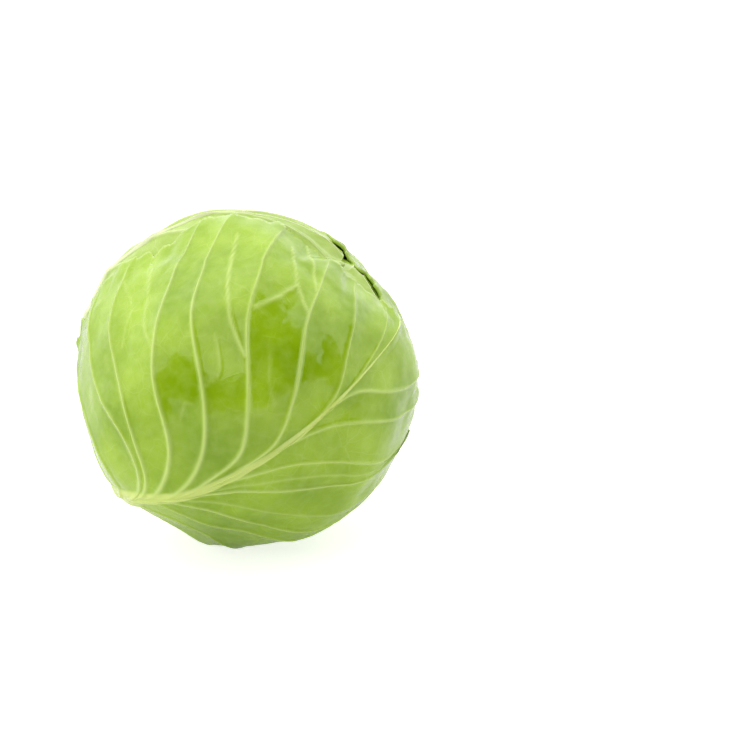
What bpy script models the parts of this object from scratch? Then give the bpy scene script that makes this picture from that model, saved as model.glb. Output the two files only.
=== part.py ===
"""A head of white cabbage lying on its side: a cut stem, a dense inner head and its wrapper leaves.

Everything is shaped in the head's own frame: the centre of the head is the origin, the stem points
along -Z and the growing tip along +Z. HEAD_AXIS and FACING then lay the head down on the table.

Each leaf is drawn flat first, on a plane rolled on to the head at the leaf's own centre, so that a
distance on the plane is a distance along the head. Its surface is a fan: one row of points for each
side vein or gap between veins, one column for each step from the midrib out to the margin.
"""

import math

import bmesh
import bpy
import numpy as np
from mathutils import Vector

MM = 0.001
MERGE = 0.01 * MM

# The head without its wrapper leaves: a slightly flattened ball, drawn in round the stem.
EQUATOR_RADIUS = 90.0 * MM
POLE_RADIUS = 83.0 * MM
STEM_HOLLOW_DEPTH = 13.0 * MM
STEM_HOLLOW_SPREAD = math.radians(20)
HEART_SEGMENTS = 40
HEART_RINGS = 20

# Where the grown head swells or is flattened: a direction in the world, a height and a spread.
SWELLINGS = (
    ((-0.77, -0.21, -0.61), 7.0 * MM, math.radians(45)),
    ((-0.91, 0.14, 0.40), 2.4 * MM, math.radians(22)),
    ((-0.52, -0.28, 0.81), -6.4 * MM, math.radians(24)),
    ((0.50, -0.28, 0.82), -5.0 * MM, math.radians(18)),
)
SWELLING_FLATNESS = 3

# How the head lies: its centre above the table, its axis from stem to tip, and the side that faces -Y.
HEAD_CENTRE = (-0.0015, 0.0010, 0.0956)
HEAD_AXIS = (0.68, -0.154, 0.717)
FACING = (0.0, -1.0, 0.0)

# The flat spot it rests on: the inner head and the outermost leaf are both pressed flat there.
REST_PLANE = 85.0 * MM
REST_BLEND = 0.8 * MM
REST_BLADE = 1.1 * MM
REST_PAD_DEPTH = 2.0 * MM
REST_PAD_SPREAD = math.radians(17)
REST_PAD_CORE = 0.4
LEAST_DOWNWARD = 0.2

# Inner leaves, raised on the inner head as overlapping folds. Angles are in degrees.
FOLD_COUNT = 7
FOLD_HEIGHT = 0.7 * MM
FOLD_RAMP = 18.0
FOLD_RADIUS = 58.0
FIRST_FOLD_AZIMUTH = 60.0
FIRST_FOLD_FROM_STEM = 98.0
FOLD_STEP = 4.0

# The stem: a stalk cut off square just outside the leaf bases.
STEM_RADIUS = 16.5 * MM
STEM_CUT_AT = 95.0 * MM
STEM_ROOT_AT = 80.0 * MM
STEM_EDGE = 1.4 * MM
STEM_FLARE = 1.5 * MM
STEM_FLARE_LENGTH = 4.0 * STEM_EDGE
STEM_SIDES = 40

# Leaf blades. From here to the midrib, plane distances are in degrees of arc round the head's centre.
BLADE = 1.0 * MM
CLEARANCE = 1.2 * MM
FIRST_AZIMUTH = -4.0
GOLDEN_ANGLE = 137.5
POLE_DISTANCE = 80.0
BASE_DISTANCE = 12.5
BASE_STEP = 0.9
BASE_LOBE = 2.5
STALK_FADE = 9.0
OUTLINE_CENTRE = 6.0
EDGE_RAMP = 0.275
MARGIN_TOOTH = 1.6
MARGIN_TEETH = 11
TOOTH_PHASE = 2.1
RIPPLE_HEIGHT = 1.6 * MM
COVERED_RIPPLE_HEIGHT = 0.5 * MM
RIPPLES = 25.3
RIPPLE_PHASE = 1.3
RIPPLE_NARROWNESS = 6

# The midrib: straight from the stem, then leaning to one side, broad and thick only near the stem.
BEND_AT = 42.0
BEND_LENGTH = 14.0
SWAY = 17.0
SWAY_AT = -35.0
SWAY_LENGTH = 22.0
RIB_HALF_WIDTH = 2.0
RIB_FOOT_WIDTH = 8.5
RIB_FOOT_WIDTH_FADE = 11.0
RIB_WIDTH_LIMITS = (0.4, 11.0)
RIB_HEIGHT = 2.4 * MM
RIB_FOOT_HEIGHT = 4.2 * MM
RIB_FOOT_HEIGHT_FADE = 13.0
RIB_HEIGHT_LIMIT = 6.2 * MM
RIB_FOOT_AT = 12.0
RIB_TAPER_LENGTH = 175.0
RIB_LEAST_TAPER = 0.12
RIB_LIFT_SPREAD = 14.0
RIB_ROOM = 1.1

# Side veins: crowded at the foot of the leaf, opening wide there and closing up towards the tip.
VEIN_HEIGHT = 1.5 * MM
VEIN_HALF_WIDTH = 0.16
VEIN_ROWS = (0.0, VEIN_HALF_WIDTH, 0.5, 1.0 - VEIN_HALF_WIDTH)
VEIN_START = 0.1
VEIN_TAPER = 0.5
TIP_VEIN = 30.0
VEIN_EVENNESS = 0.42
VEIN_CROWDING = 2.6
VEIN_OPENING = math.radians(114)
OPENING_FALL = 1.3
OPENING_END = 1.15
FIRST_OPENING = 0.42
FOOT_OPENING = 0.45
FOOT_OPENING_FADE = 0.07
VEIN_BEND_LENGTH = 22.0
MARGIN_SEARCH = 175.0
SEARCH_STEPS = 701
LEAST_ROW = 4.0
COLUMN_EVENNESS = 0.45

# The wrapper leaves, outermost first. Reach is the width left and right and the length to the tip;
# corners widen the outline at the upper left, the upper right and the lower right. In degrees of arc.
LEAVES = {
    "wrapper_leaf_1": dict(reach=(86, 90, 93), corners=(8, 10, 18), bend=0.29, veins=9, columns=12),
    "wrapper_leaf_2": dict(reach=(80, 76, 78), corners=(4, 4, 0), bend=-0.14, veins=7, columns=11),
    "wrapper_leaf_3": dict(reach=(78, 84, 90), corners=(5, 5, 0), bend=-0.17, veins=7, columns=11),
    "wrapper_leaf_4": dict(reach=(80, 80, 100), corners=(2, 2, 0), bend=0.12, veins=7, columns=11),
    "wrapper_leaf_5": dict(reach=(82, 74, 108), corners=(0, 0, 0), bend=-0.1, veins=7, columns=11),
}

# Plain finishes.
STEM_COLOUR = (0.78, 0.82, 0.55)
INNER_COLOUR = (0.72, 0.80, 0.42)
LEAF_COLOUR = (0.36, 0.52, 0.09)
STEM_ROUGHNESS = 0.6
INNER_ROUGHNESS = 0.45
LEAF_ROUGHNESS = 0.3
SHARP_ANGLE = math.radians(40)


def unit(vector):
    """The same direction with length one, for one vector or a row of them."""
    vector = np.asarray(vector, float)
    return vector / np.linalg.norm(vector, axis=-1, keepdims=True)


def smoothstep(low, high, value):
    """0 below low, 1 above high, and an even S-curve between them."""
    share = np.clip((value - low) / (high - low), 0.0, 1.0)
    return share * share * (3.0 - 2.0 * share)


def head_to_world():
    """The rotation that lays the head down: its columns are the head's own X, Y and Z in the world."""
    along = unit(HEAD_AXIS)
    front = np.asarray(FACING, float)
    front = unit(front - along * front.dot(along))
    return np.stack([front, np.cross(along, front), along], axis=1)


TURN = head_to_world()
DOWN = TURN.T @ np.array([0.0, 0.0, -1.0])


def direction(from_stem, azimuth):
    """Unit vectors in the head's frame from the angles off the stem and round the axis, in radians."""
    across = np.sin(from_stem)
    return np.stack([across * np.cos(azimuth), across * np.sin(azimuth), -np.cos(from_stem)], axis=-1)


def angle_from(directions, middle):
    """Angle in radians between each direction and one other."""
    return np.arccos(np.clip(directions @ middle, -1.0, 1.0))


class LeafPlane:
    """The flat drawing of one leaf: x across and y along it, in degrees of arc from the leaf's centre."""

    def __init__(self, order, reach, corners, bend, veins, columns):
        azimuth = math.radians(FIRST_AZIMUTH + GOLDEN_ANGLE * order)
        pole_angle = math.radians(POLE_DISTANCE)
        self.order = order
        self.base = POLE_DISTANCE - BASE_DISTANCE - BASE_STEP * order
        self.left, self.right, self.tip = reach
        self.upper_left, self.upper_right, self.lower_right = corners
        self.bend = bend
        self.veins = veins
        self.columns = columns
        self.centre = direction(pole_angle, azimuth)
        self.along = direction(pole_angle + math.pi / 2, azimuth)
        self.across = np.cross(self.along, self.centre)

    def to_head(self, x, y):
        """Directions in the head's frame of points on the plane."""
        arc = np.radians(np.hypot(x, y))
        turn = np.arctan2(x, y)
        tangent = np.sin(turn)[..., None] * self.across + np.cos(turn)[..., None] * self.along
        return np.cos(arc)[..., None] * self.centre + np.sin(arc)[..., None] * tangent

    def to_plane(self, directions):
        """The point on the plane of each direction in the head's frame."""
        arc = np.degrees(angle_from(directions, self.centre))
        turn = np.arctan2(directions @ self.across, directions @ self.along)
        return arc * np.sin(turn), arc * np.cos(turn)

    def midrib_x(self, y):
        """How far sideways the midrib has run at a distance y along the leaf: straight, then leaning."""
        past = y + BEND_AT
        sway = SWAY * np.exp(-(((y - SWAY_AT) / SWAY_LENGTH) ** 2))
        return self.bend * (0.5 * (past + np.hypot(past, BEND_LENGTH)) - sway)

    def midrib_lean(self, y):
        """The angle at which the midrib runs there, from the leaf's own long axis."""
        return np.arctan2(self.midrib_x(y + 1.0) - self.midrib_x(y - 1.0), 2.0)

    def share_of_margin(self, x, y):
        """Distance from the outline's centre as a share of the distance to the margin that way.

        The outline is an ellipse, unlike on each side, with wider corners and a toothed edge."""
        from_centre = y - OUTLINE_CENTRE
        turn = np.arctan2(x, from_centre)
        side = np.where(x < 0, self.left, self.right)
        end = np.where(from_centre > 0, self.tip, self.base + OUTLINE_CENTRE + BASE_LOBE)
        upper = np.where(x < 0, self.upper_left, self.upper_right)
        lower = np.where(x < 0, 0.0, self.lower_right)
        margin = side * np.sin(turn) ** 2 + end * np.cos(turn) ** 2
        margin = margin + np.where(from_centre > 0, upper, lower) * np.sin(2 * turn) ** 2
        teeth = MARGIN_TOOTH * np.sin(MARGIN_TEETH * turn + TOOTH_PHASE * self.order)
        return np.hypot(x, from_centre) / (margin + teeth * np.sin(turn) ** 2)

    def rib_height(self, x, y, spread=0.0):
        """Height of the midrib above the blade, half a cosine wave across; spread widens its room."""
        from_foot = y + POLE_DISTANCE - RIB_FOOT_AT
        taper = (1.0 - (from_foot + RIB_FOOT_AT) / RIB_TAPER_LENGTH).clip(RIB_LEAST_TAPER)
        half_width = RIB_HALF_WIDTH * taper + RIB_FOOT_WIDTH * np.exp(-from_foot / RIB_FOOT_WIDTH_FADE)
        height = RIB_HEIGHT * taper + RIB_FOOT_HEIGHT * np.exp(-from_foot / RIB_FOOT_HEIGHT_FADE)
        away = np.abs(x - self.midrib_x(y)) / (half_width.clip(*RIB_WIDTH_LIMITS) + spread)
        return height.clip(0.0, RIB_HEIGHT_LIMIT) * (0.5 + 0.5 * np.cos(math.pi * away.clip(0.0, 1.0)))

    def vein_point(self, vein, distance, side):
        """The point at a distance along a side vein; veins count from 0 at the leaf base to 1 at the tip."""
        place = VEIN_EVENNESS * vein + (1.0 - VEIN_EVENNESS) * vein**VEIN_CROWDING
        start = place * (OUTLINE_CENTRE + self.tip - TIP_VEIN) - (1 - place) * self.base
        opening = VEIN_OPENING * (1 - place**OPENING_FALL) ** OPENING_END
        first = opening * (FIRST_OPENING + FOOT_OPENING * np.exp(-place / FOOT_OPENING_FADE))
        angle = first + (opening - first) * distance / (distance + VEIN_BEND_LENGTH)
        heading = self.midrib_lean(start) + side * angle
        return self.midrib_x(start) + distance * np.sin(heading), start + distance * np.cos(heading)

    def vein_length(self, vein, side):
        """How far along each side vein the margin lies."""
        steps = np.linspace(0.0, MARGIN_SEARCH, SEARCH_STEPS)
        x, y = self.vein_point(vein[:, None], steps[None, :], side[:, None])
        inside = self.share_of_margin(x, y) < 1.0
        last = inside.shape[1] - 1 - np.argmax(inside[:, ::-1], axis=1)
        return steps[last].clip(LEAST_ROW)

    def cover(self, directions):
        """Room that this leaf takes up under the leaves outside it."""
        x, y = self.to_plane(directions)
        inside = 1.0 - smoothstep(1.0, 1.0 + EDGE_RAMP, self.share_of_margin(x, y))
        from_stem = np.hypot(x, y + POLE_DISTANCE)
        stalk = smoothstep(BASE_DISTANCE - STALK_FADE, BASE_DISTANCE, from_stem)
        rib = RIB_ROOM * self.rib_height(x, y, RIB_LIFT_SPREAD)
        return inside * stalk * (BLADE + VEIN_HEIGHT + CLEARANCE + rib)


def press_flat(radius, directions, height):
    """The radius cut down, with a soft edge, to what stays above a height over the table."""
    plane = (HEAD_CENTRE[2] - height) / (directions @ DOWN).clip(LEAST_DOWNWARD)
    gap = plane - radius
    return 0.5 * (plane + radius - np.hypot(gap, REST_BLEND))


def heart_radius(directions):
    """Radius of the inner head: a flattened ball with swellings and folds, hollow at the stem, flat below."""
    from_stem = np.arccos(np.clip(-directions[..., 2], -1.0, 1.0))
    radius = 1.0 / np.hypot(np.sin(from_stem) / EQUATOR_RADIUS, np.cos(from_stem) / POLE_RADIUS)
    radius = radius - STEM_HOLLOW_DEPTH * np.exp(-((from_stem / STEM_HOLLOW_SPREAD) ** 2))
    for middle, height, spread in SWELLINGS:
        away = angle_from(directions, unit(middle) @ TURN)
        radius = radius + height * np.exp(-((away / spread) ** SWELLING_FLATNESS))
    for fold in range(FOLD_COUNT):
        azimuth = math.radians(FIRST_AZIMUTH + FIRST_FOLD_AZIMUTH + GOLDEN_ANGLE * fold)
        middle = direction(math.radians(FIRST_FOLD_FROM_STEM + FOLD_STEP * fold), azimuth)
        away = np.degrees(angle_from(directions, middle))
        radius = radius + FOLD_HEIGHT * (1 - smoothstep(FOLD_RADIUS, FOLD_RADIUS + FOLD_RAMP, away))
    return press_flat(radius, directions, HEAD_CENTRE[2] - REST_PLANE)


def make_material(name, colour, roughness):
    """A plain Principled material."""
    material = bpy.data.materials.new(name)
    material.use_nodes = True
    shader = material.node_tree.nodes["Principled BSDF"]
    shader.inputs["Base Color"].default_value = (*colour, 1.0)
    shader.inputs["Roughness"].default_value = roughness
    shader.inputs["Metallic"].default_value = 0.0
    return material


def add_object(name, mesh, material, collection):
    """Link a mesh to the collection as one object, smooth but for its sharp edges."""
    mesh.materials.append(material)
    mesh.shade_smooth()
    mesh.set_sharp_from_angle(angle=SHARP_ANGLE)
    made = bpy.data.objects.new(name, mesh)
    collection.objects.link(made)
    return made


def lay_down(points):
    """Points of the head's frame, placed in the world."""
    return points @ TURN.T + np.array(HEAD_CENTRE)


def set_points(shape, points):
    """Move the vertices of a bmesh to the given points."""
    for vertex, point in zip(shape.verts, points):
        vertex.co = point


def make_heart(material, collection):
    """The inner head: a ball whose points are moved out to the radius in their own direction."""
    shape = bmesh.new()
    bmesh.ops.create_uvsphere(shape, u_segments=HEART_SEGMENTS, v_segments=HEART_RINGS, radius=1.0)
    directions = unit([vertex.co[:] for vertex in shape.verts])
    set_points(shape, lay_down(directions * heart_radius(directions)[:, None]))
    bmesh.ops.triangulate(shape, faces=shape.faces)
    mesh = bpy.data.meshes.new("inner_head")
    shape.to_mesh(mesh)
    shape.free()
    return add_object("inner_head", mesh, material, collection)


def leaf_rows(leaf):
    """Vein number and side of each row of the fan, from the left base round the tip to the right base."""
    steps = len(VEIN_ROWS)
    rows = np.arange(-steps * leaf.veins, steps * leaf.veins + 1)
    from_tip = np.abs(rows)
    vein = leaf.veins - from_tip // steps - np.take(VEIN_ROWS, from_tip % steps)
    return vein, np.where(rows < 0, -1, 1)


def leaf_radius(leaf, inner_leaves, directions):
    """Radius of a leaf's inner face, over the inner head and the room of every leaf inside it."""
    radius = heart_radius(directions) + CLEARANCE
    for inner in inner_leaves:
        radius = radius + inner.cover(directions)
    return radius


def ripple(leaf, x, y, share):
    """How far the margin ripples off the head; the outermost leaf's is free to ripple most."""
    height = RIPPLE_HEIGHT if leaf.order == 0 else COVERED_RIPPLE_HEIGHT
    wave = np.sin(RIPPLES * np.arctan2(x, y) + RIPPLE_PHASE * leaf.order)
    return height * share**RIPPLE_NARROWNESS * (0.5 + 0.5 * wave)


def leaf_thickness(leaf, x, y, vein, share):
    """Thickness of the blade with its midrib and side veins raised on its outer face."""
    crest = 1.0 - (np.abs(vein - np.round(vein)) / VEIN_HALF_WIDTH).clip(0.0, 1.0)
    veins = VEIN_HEIGHT * crest * (1.0 - share) ** VEIN_TAPER * smoothstep(0.0, VEIN_START, share)
    return BLADE + np.maximum(leaf.rib_height(x, y), veins)


def resting_pad(directions):
    """Extra thickness where the outermost leaf lies on the table."""
    off_floor = angle_from(directions, DOWN) / REST_PAD_SPREAD
    return REST_PAD_DEPTH * (1 - smoothstep(REST_PAD_CORE, 1.0, off_floor))


def make_leaf(name, leaf, inner_leaves, material, collection):
    """One wrapper leaf: a grid mapped to the fan of veins, wrapped over what lies inside it, made solid."""
    vein, side = leaf_rows(leaf)
    length = leaf.vein_length(vein / leaf.veins, side)
    shape = bmesh.new()
    bmesh.ops.create_grid(shape, x_segments=len(vein) - 1, y_segments=leaf.columns, size=0.5)
    corners = np.array([vertex.co[:2] for vertex in shape.verts]) + 0.5
    row = np.rint(corners[:, 0] * (len(vein) - 1)).astype(int)
    step = corners[:, 1]
    share = COLUMN_EVENNESS * step + (1.0 - COLUMN_EVENNESS) * step**1.5
    x, y = leaf.vein_point(vein[row] / leaf.veins, share * length[row], side[row])
    directions = leaf.to_head(x, y)
    radius = leaf_radius(leaf, inner_leaves, directions) + ripple(leaf, x, y, share)
    thickness = leaf_thickness(leaf, x, y, vein[row], share)
    if leaf.order == 0:
        radius = press_flat(radius, directions, REST_BLADE)
        thickness = thickness + resting_pad(directions)
    set_points(shape, lay_down(directions * radius[:, None]))
    amounts = shape.verts.layers.float.new("thickness")
    for vertex, amount in zip(shape.verts, thickness):
        vertex[amounts] = float(amount)
    bmesh.ops.triangulate(shape, faces=shape.faces, quad_method="FIXED")
    bmesh.ops.remove_doubles(shape, verts=shape.verts, dist=MERGE)
    thicken_outward(shape, amounts)
    mesh = bpy.data.meshes.new(name)
    shape.to_mesh(mesh)
    shape.free()
    return add_object(name, mesh, material, collection)


def thicken_outward(shape, amounts):
    """Extrude a surface outward by each point's own thickness, and stop it at the table."""
    centre = Vector(HEAD_CENTRE)
    raised = bmesh.ops.extrude_face_region(shape, geom=list(shape.faces))["geom"]
    for vertex in raised:
        if isinstance(vertex, bmesh.types.BMVert):
            vertex.co += (vertex.co - centre).normalized() * vertex[amounts]
            vertex.co.z = max(vertex.co.z, 0.0)
    bmesh.ops.recalc_face_normals(shape, faces=shape.faces)


def make_stem(material, collection):
    """The stalk: a turned profile along the head's axis, its cut edge slightly rounded."""
    profile = [
        (0.0, -STEM_ROOT_AT),
        (STEM_RADIUS, -STEM_ROOT_AT),
        (STEM_RADIUS, -STEM_CUT_AT + STEM_FLARE_LENGTH),
        (STEM_RADIUS + STEM_FLARE, -STEM_CUT_AT + STEM_EDGE),
        (STEM_RADIUS + STEM_FLARE - STEM_EDGE, -STEM_CUT_AT),
        (0.0, -STEM_CUT_AT + 0.5 * STEM_EDGE),
    ]
    mesh = bpy.data.meshes.new("stem")
    edges = [(index, index + 1) for index in range(len(profile) - 1)]
    mesh.from_pydata([(across, 0.0, height) for across, height in profile], edges, [])
    made = add_object("stem", mesh, material, collection)
    turned = made.modifiers.new("turned", "SCREW")
    turned.steps = STEM_SIDES
    turned.render_steps = STEM_SIDES
    turned.use_merge_vertices = True
    turned.merge_threshold = MERGE
    place = np.eye(4)
    place[:3, :3] = TURN
    place[:3, 3] = HEAD_CENTRE
    made.matrix_world = place.T.tolist()
    return made


def main():
    """Clear the scene, then make the inner head, the wrapper leaves from the outside in, and the stem."""
    for old in list(bpy.data.objects):
        bpy.data.objects.remove(old)
    collection = bpy.data.collections.new("cabbage_head")
    bpy.context.scene.collection.children.link(collection)
    make_heart(make_material("inner_leaf", INNER_COLOUR, INNER_ROUGHNESS), collection)
    leaf_green = make_material("wrapper_leaf", LEAF_COLOUR, LEAF_ROUGHNESS)
    planes = [LeafPlane(order, **values) for order, values in enumerate(LEAVES.values())]
    for name, leaf in zip(LEAVES, planes):
        make_leaf(name, leaf, planes[leaf.order + 1 :], leaf_green, collection)
    make_stem(make_material("stem_flesh", STEM_COLOUR, STEM_ROUGHNESS), collection)


main()
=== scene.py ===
"""Looks for a head of white cabbage lying on its side: inner head, five wrapper leaves and the cut stem.

Every leaf is drawn on its own plane rolled on to the head, as the solids are, and then worked out on a
finer grid whose rows follow the side veins from the midrib to the margin.
"""

import math

import bmesh
import bpy
import numpy as np
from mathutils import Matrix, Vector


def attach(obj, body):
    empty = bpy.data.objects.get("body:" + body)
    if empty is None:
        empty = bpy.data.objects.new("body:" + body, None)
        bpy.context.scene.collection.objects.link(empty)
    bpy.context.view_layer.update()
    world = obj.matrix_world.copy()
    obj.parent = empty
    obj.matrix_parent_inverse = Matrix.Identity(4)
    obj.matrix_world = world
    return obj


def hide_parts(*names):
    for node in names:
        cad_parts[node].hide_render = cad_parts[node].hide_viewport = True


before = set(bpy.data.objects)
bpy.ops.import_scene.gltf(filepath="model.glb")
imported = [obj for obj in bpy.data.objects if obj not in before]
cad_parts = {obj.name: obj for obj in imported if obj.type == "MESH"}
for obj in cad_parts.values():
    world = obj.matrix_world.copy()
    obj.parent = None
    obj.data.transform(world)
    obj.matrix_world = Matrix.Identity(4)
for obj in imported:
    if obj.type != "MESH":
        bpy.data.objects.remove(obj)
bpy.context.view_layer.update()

# The inner head
#
# The tight ball of leaves inside the wrappers. It shows only as slivers between wrapper leaves round the
# growing tip. Pale, waxy blades, each ending in a step where it laps over the next.

MM = 0.001
HEAD_CENTRE = np.array([-0.0015, 0.0010, 0.0956])
HEAD_AXIS = (0.68, -0.154, 0.717)
FACING = (0.0, -1.0, 0.0)
EQUATOR_RADIUS = 90.0 * MM
POLE_RADIUS = 83.0 * MM
STEM_HOLLOW_DEPTH = 13.0 * MM
STEM_HOLLOW_SPREAD = math.radians(20)
SWELLINGS = (
    ((-0.77, -0.21, -0.61), 7.0 * MM, math.radians(45)),
    ((-0.91, 0.14, 0.40), 2.4 * MM, math.radians(22)),
    ((-0.52, -0.28, 0.81), -6.4 * MM, math.radians(24)),
    ((0.50, -0.28, 0.82), -5.0 * MM, math.radians(18)),
)
SWELLING_FLATNESS = 3
REST_PLANE = 85.0 * MM
REST_BLEND = 0.8 * MM
LEAST_DOWNWARD = 0.2
FOLD_COUNT = 7
FOLD_HEIGHT = 0.7 * MM
FOLD_RAMP = 18.0
FOLD_RADIUS = 58.0
FIRST_FOLD_AZIMUTH = 60.0
FIRST_FOLD_FROM_STEM = 98.0
FOLD_STEP = 4.0
FIRST_AZIMUTH = -4.0
GOLDEN_ANGLE = 137.5
HEART_AROUND = 400
HEART_ALONG = 200
HEART_WAVE = 0.2
HEART_WAVELENGTH = 0.5
HEART_SEED = 11
HEART_VEINS = 9
HEART_TWIST = 0.9
HEART_VEIN_HEIGHT = 0.5
HEART_VEIN_START = (0.3, 0.9)
HEART_VEIN_END = (2.2, 2.9)
VEIN_HALF_WIDTH = 1.7
WAVE_COUNT = 22
WAVE_LENGTHS = (0.7, 1.4)
MERGE = 0.002 * MM


def unit(vectors):
    """The same directions with length one, for one vector or a row of them."""
    vectors = np.asarray(vectors, float)
    return vectors / np.linalg.norm(vectors, axis=-1, keepdims=True)


def smoothstep(low, high, value):
    """0 below low, 1 above high, and an even S-curve between them."""
    share = np.clip((value - low) / (high - low), 0.0, 1.0)
    return share * share * (3.0 - 2.0 * share)


def head_to_world():
    """The rotation that lays the head down: its columns are the head's own X, Y and Z in the world."""
    along = unit(HEAD_AXIS)
    front = np.asarray(FACING, float)
    front = unit(front - along * front.dot(along))
    return np.stack([front, np.cross(along, front), along], axis=1)


TURN = head_to_world()
DOWN = TURN.T @ np.array([0.0, 0.0, -1.0])


def direction(from_stem, azimuth):
    """Unit vectors in the head's frame from the angle off the stem and the angle round the axis."""
    across = np.sin(from_stem)
    return np.stack([across * np.cos(azimuth), across * np.sin(azimuth), -np.cos(from_stem)], axis=-1)


def lay_down(points):
    """Points of the head's frame, placed in the world."""
    return points @ TURN.T + HEAD_CENTRE


def press_flat(radius, directions, height):
    """The radius cut down, with a soft edge, to what stays above a height over the table."""
    plane = (HEAD_CENTRE[2] - height) / (directions @ DOWN).clip(LEAST_DOWNWARD)
    gap = plane - radius
    return 0.5 * (plane + radius - np.sqrt(gap * gap + REST_BLEND**2))


def heart_radius(directions):
    """Radius of the inner head: a flattened ball with swellings and folds, hollow at the stem, flat below."""
    from_stem = np.arccos(np.clip(-directions[..., 2], -1.0, 1.0))
    radius = 1.0 / np.hypot(np.sin(from_stem) / EQUATOR_RADIUS, np.cos(from_stem) / POLE_RADIUS)
    radius = radius - STEM_HOLLOW_DEPTH * np.exp(-((from_stem / STEM_HOLLOW_SPREAD) ** 2))
    for middle, height, spread_out in SWELLINGS:
        away = np.arccos(np.clip(directions @ (unit(middle) @ TURN), -1.0, 1.0))
        radius = radius + height * np.exp(-((away / spread_out) ** SWELLING_FLATNESS))
    for fold in range(FOLD_COUNT):
        azimuth = math.radians(FIRST_AZIMUTH + FIRST_FOLD_AZIMUTH + GOLDEN_ANGLE * fold)
        middle = direction(math.radians(FIRST_FOLD_FROM_STEM + FOLD_STEP * fold), azimuth)
        away = np.degrees(np.arccos(np.clip(directions @ middle, -1.0, 1.0)))
        radius = radius + FOLD_HEIGHT * (1 - smoothstep(FOLD_RADIUS, FOLD_RADIUS + FOLD_RAMP, away))
    return press_flat(radius, directions, HEAD_CENTRE[2] - REST_PLANE)


def waves(points, wavelength, seed):
    """A smooth random field: the sum of plane sine waves with seeded directions, lengths and phases."""
    chance = np.random.default_rng(seed)
    pull = unit(chance.normal(size=(WAVE_COUNT, points.shape[-1])))
    pull = pull * chance.uniform(*WAVE_LENGTHS, (WAVE_COUNT, 1))
    phase = chance.uniform(0.0, 2.0 * math.pi, WAVE_COUNT)
    rise = np.sin(points @ pull.T * (2.0 * math.pi / wavelength) + phase)
    return rise.sum(axis=-1) * math.sqrt(2.0 / WAVE_COUNT)


def grid_faces(rows, columns, first=0):
    """Vertex numbers of the quads of a grid stored row by row."""
    corner = first + (np.arange(rows - 1)[:, None] * columns + np.arange(columns - 1)[None, :]).ravel()
    return np.stack([corner, corner + columns, corner + columns + 1, corner + 1], axis=1)


def make_piece(name, points, faces, values, plane):
    """A smooth mesh object with a value for each point and a map: doubles merged, faces outward."""
    mesh = bpy.data.meshes.new(name)
    mesh.from_pydata(points, [], faces)
    for title, amounts in values.items():
        layer = mesh.attributes.new(title, "FLOAT", "POINT")
        layer.data.foreach_set("value", amounts.astype(np.float32))
    corners = np.zeros(len(mesh.loops), np.int32)
    mesh.loops.foreach_get("vertex_index", corners)
    layer = mesh.uv_layers.new(name="leaf_plane")
    layer.data.foreach_set("uv", plane[corners].astype(np.float32).ravel())
    shape = bmesh.new()
    shape.from_mesh(mesh)
    bmesh.ops.remove_doubles(shape, verts=shape.verts, dist=MERGE)
    bmesh.ops.recalc_face_normals(shape, faces=shape.faces)
    shape.to_mesh(mesh)
    shape.free()
    mesh.shade_smooth()
    piece = bpy.data.objects.new(name, mesh)
    bpy.context.scene.collection.objects.link(piece)
    return piece


def make_heart():
    """The inner head: a ball whose points lie at the heart's radius, finely waved, with veins that wind
    from the stem up to the tip."""
    around = np.linspace(0.0, 2.0 * math.pi, HEART_AROUND)
    from_stem, azimuth = np.meshgrid(np.linspace(0.0, math.pi, HEART_ALONG), around, indexing="ij")
    from_stem, azimuth = from_stem.ravel(), azimuth.ravel()
    directions = direction(from_stem, azimuth)
    turn = azimuth * HEART_VEINS / (2.0 * math.pi) + HEART_TWIST * np.sin(from_stem)
    pitch = 2.0 * math.pi / HEART_VEINS * np.sin(from_stem) * EQUATOR_RADIUS / MM
    vein = np.exp(-((np.abs(turn - np.round(turn)) * pitch / VEIN_HALF_WIDTH) ** 2))
    vein = vein * smoothstep(*HEART_VEIN_START, from_stem) * (1.0 - smoothstep(*HEART_VEIN_END, from_stem))
    relief = HEART_WAVE * waves(directions, HEART_WAVELENGTH, HEART_SEED) + HEART_VEIN_HEIGHT * vein
    radius = heart_radius(directions) + relief * MM
    plane = from_stem[:, None] * np.stack([np.cos(azimuth), np.sin(azimuth)], axis=-1)
    points = lay_down(directions * radius[:, None])
    faces = grid_faces(HEART_ALONG, HEART_AROUND).tolist()
    return make_piece("inner_head_skin", points, faces, {"vein": vein}, plane)


def shade(red, green, blue):
    """A colour given as it looks on a screen, 0 to 255, turned into the light values that a shader takes."""
    screen = np.array([red, green, blue]) / 255.0
    light = np.where(screen <= 0.04045, screen / 12.92, ((screen + 0.055) / 1.055) ** 2.4)
    return (*light.tolist(), 1.0)


def add_node(tree, kind, links=None, **settings):
    """One shader node: settings are its properties; links are its inputs, values or other nodes' sockets."""
    node = tree.nodes.new(kind)
    for key, value in settings.items():
        setattr(node, key, value)
    for key, value in (links or {}).items():
        if isinstance(value, bpy.types.NodeSocket):
            tree.links.new(value, node.inputs[key])
        else:
            node.inputs[key].default_value = value
    return node


def math_node(tree, operation, first, second=0.0):
    """The result of one sum on two values or sockets."""
    return add_node(tree, "ShaderNodeMath", {0: first, 1: second}, operation=operation).outputs[0]


def blend(tree, amount, first, second):
    """A colour mixed from two others by an amount."""
    return add_node(tree, "ShaderNodeMix", {0: amount, 6: first, 7: second}, data_type="RGBA").outputs[2]


def spread(tree, value, low, high, start=0.0, end=1.0):
    """A value moved from one range to another and held inside it."""
    links = {"Value": value, "From Min": low, "From Max": high, "To Min": start, "To Max": end}
    return add_node(tree, "ShaderNodeMapRange", links).outputs[0]


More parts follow.
